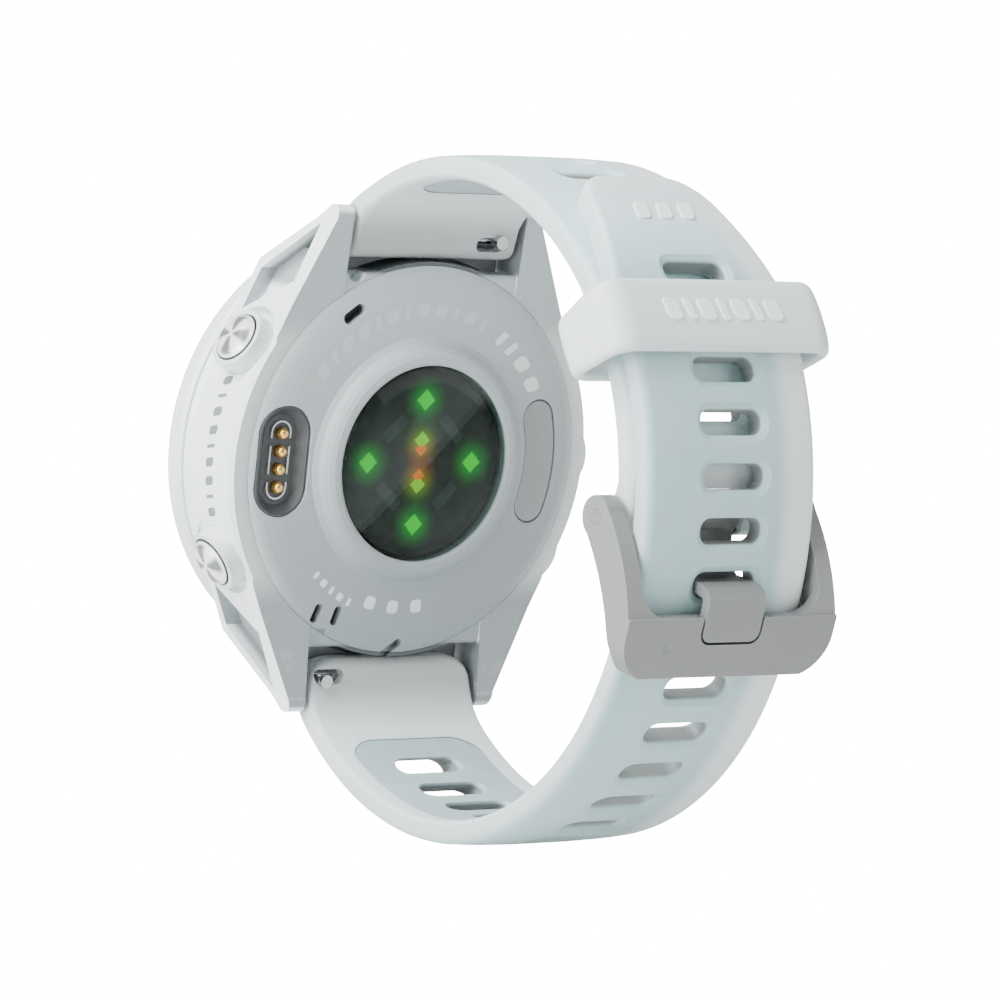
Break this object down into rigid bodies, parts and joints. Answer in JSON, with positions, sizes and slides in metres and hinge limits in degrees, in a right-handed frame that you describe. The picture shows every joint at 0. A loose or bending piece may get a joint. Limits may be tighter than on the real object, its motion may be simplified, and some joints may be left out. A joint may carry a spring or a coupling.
{
  "type": "running watch",
  "caption": "Round running watch with side buttons, a rear optical sensor and charging port, and a buckled two-piece silicone strap with a free keeper.",
  "frame": {"origin": "centre of the front face of the display glass, on the case's round axis", "axes": "+Z to 12 o'clock, +X to 3 o'clock, +Y from the display towards the wrist"},
  "size_m": [0.0445, 0.0635, 0.0656],
  "materials": {
    "case_coating": "satin, light powder coat",
    "bezel_metal": "satin, light coat",
    "display_glass": "polished",
    "display_panel": "glossy black",
    "back_cover": "satin, glass-filled polymer",
    "sensor_lens": "polished dark",
    "label_panel": "gloss",
    "dark_polymer": "matte",
    "gold_contact": "gold plated",
    "silver_line": "bright",
    "button_metal": "spun",
    "clip_steel": "plain",
    "collar_coating": "satin",
    "black_rubber": "matte",
    "bar_steel": "plain",
    "strap_silicone": "satin, translucent pale",
    "strap_inlay": "satin, pale aqua",
    "keeper_silicone": "satin",
    "buckle_metal": "bead-blasted",
    "board": "solder resist",
    "battery_wrap": "foil",
    "antenna": "foil",
    "switch_steel": "plain",
    "sensor_white": "matte",
    "green_chip": "gloss",
    "amber_chip": "gloss"
  },
  "bodies": {
    "head": {"mid_case": "case_coating", "bezel": "bezel_metal", "display_glass": "display_glass", "glass_seal": "black_rubber", "display_panel": "display_panel", "display_flex": "antenna", "back_cover": "back_cover", "cover_gasket": "black_rubber", "sensor_lens": "sensor_lens", "label_insert": "label_panel", "charging_housing": "dark_polymer", "charging_pins": "gold_contact", "contact_frame": "silver_line", "chassis": "dark_polymer", "chassis_screws": "clip_steel", "main_board": "board", "battery": "battery_wrap", "gps_antenna": "antenna", "button_switches": "switch_steel", "vibration_motor": "switch_steel", "speaker": "dark_polymer", "pressure_sensor": "switch_steel", "port_membranes": "sensor_white", "sensor_board": "board", "light_barrier": "dark_polymer", "green_emitters": "green_chip", "red_emitters": "amber_chip", "photodiodes": "dark_polymer", "button_collars": "collar_coating", "button_seals": "black_rubber"},
    "start_button": {"start_button": "button_metal", "start_button_clip": "clip_steel"},
    "back_button": {"back_button": "button_metal", "back_button_clip": "clip_steel"},
    "light_button": {"light_button": "button_metal", "light_button_clip": "clip_steel"},
    "up_button": {"up_button": "button_metal", "up_button_clip": "clip_steel"},
    "down_button": {"down_button": "button_metal", "down_button_clip": "clip_steel"},
    "buckle_strap": {"buckle_strap": "strap_silicone", "buckle_strap_inlay": "strap_inlay", "upper_bar_tube": "bar_steel", "upper_bar_spring": "clip_steel", "buckle_pin": "bar_steel"},
    "long_strap": {"long_strap": "strap_silicone", "long_strap_inlay": "strap_inlay", "lower_bar_tube": "bar_steel", "lower_bar_spring": "clip_steel"},
    "upper_plunger": {"upper_bar_plunger": "bar_steel"},
    "lower_plunger": {"lower_bar_plunger": "bar_steel"},
    "keeper": {"keeper": "keeper_silicone"},
    "buckle_frame": {"buckle_frame": "buckle_metal"},
    "prong": {"buckle_prong": "buckle_metal"}
  },
  "joints": [
    {"name": "start_press", "type": "slide", "parent": "head", "child": "start_button", "axis": [-0.8616, 0, -0.5075], "range_m": [0, 0.0006]},
    {"name": "back_press", "type": "slide", "parent": "head", "child": "back_button", "axis": [-0.8746, 0, 0.4848], "range_m": [0, 0.0006]},
    {"name": "light_press", "type": "slide", "parent": "head", "child": "light_button", "axis": [0.8616, 0, -0.5075], "range_m": [0, 0.0006]},
    {"name": "up_press", "type": "slide", "parent": "head", "child": "up_button", "axis": [1, 0, 0], "range_m": [0, 0.0006]},
    {"name": "down_press", "type": "slide", "parent": "head", "child": "down_button", "axis": [0.8746, 0, 0.4848], "range_m": [0, 0.0006]},
    {"name": "long_strap_swing", "type": "hinge", "parent": "head", "child": "long_strap", "pos_m": [0, 0.00965, -0.0217], "axis": [1, 0, 0], "range_deg": [-0.2, 0.02]},
    {"name": "buckle_strap_swing", "type": "hinge", "parent": "head", "child": "buckle_strap", "pos_m": [0, 0.00965, 0.0217], "axis": [1, 0, 0], "range_deg": [-0.02, 0.2]},
    {"name": "upper_bar_release", "type": "slide", "parent": "buckle_strap", "child": "upper_plunger", "axis": [1, 0, 0], "range_m": [0, 0.0015], "deforming": ["upper_bar_spring"]},
    {"name": "lower_bar_release", "type": "slide", "parent": "long_strap", "child": "lower_plunger", "axis": [-1, 0, 0], "range_m": [0, 0.0015], "deforming": ["lower_bar_spring"]},
    {"name": "keeper_slide", "type": "hinge", "parent": "buckle_strap", "child": "keeper", "pos_m": [0, 0.02905, 0.0021], "axis": [1, 0, 0], "range_deg": [-14, 20]},
    {"name": "buckle_swing", "type": "hinge", "parent": "buckle_strap", "child": "buckle_frame", "pos_m": [0, 0.05675, 0.0032], "axis": [1, 0, 0], "range_deg": [0, 3]},
    {"name": "prong_lift", "type": "hinge", "parent": "buckle_frame", "child": "prong", "pos_m": [0, 0.05675, 0.0032], "axis": [1, 0, 0], "range_deg": [0, 3]}
  ],
  "couplings": [
    {"joint": "buckle_strap_swing", "follows": "long_strap_swing", "ratio": -1}
  ]
}
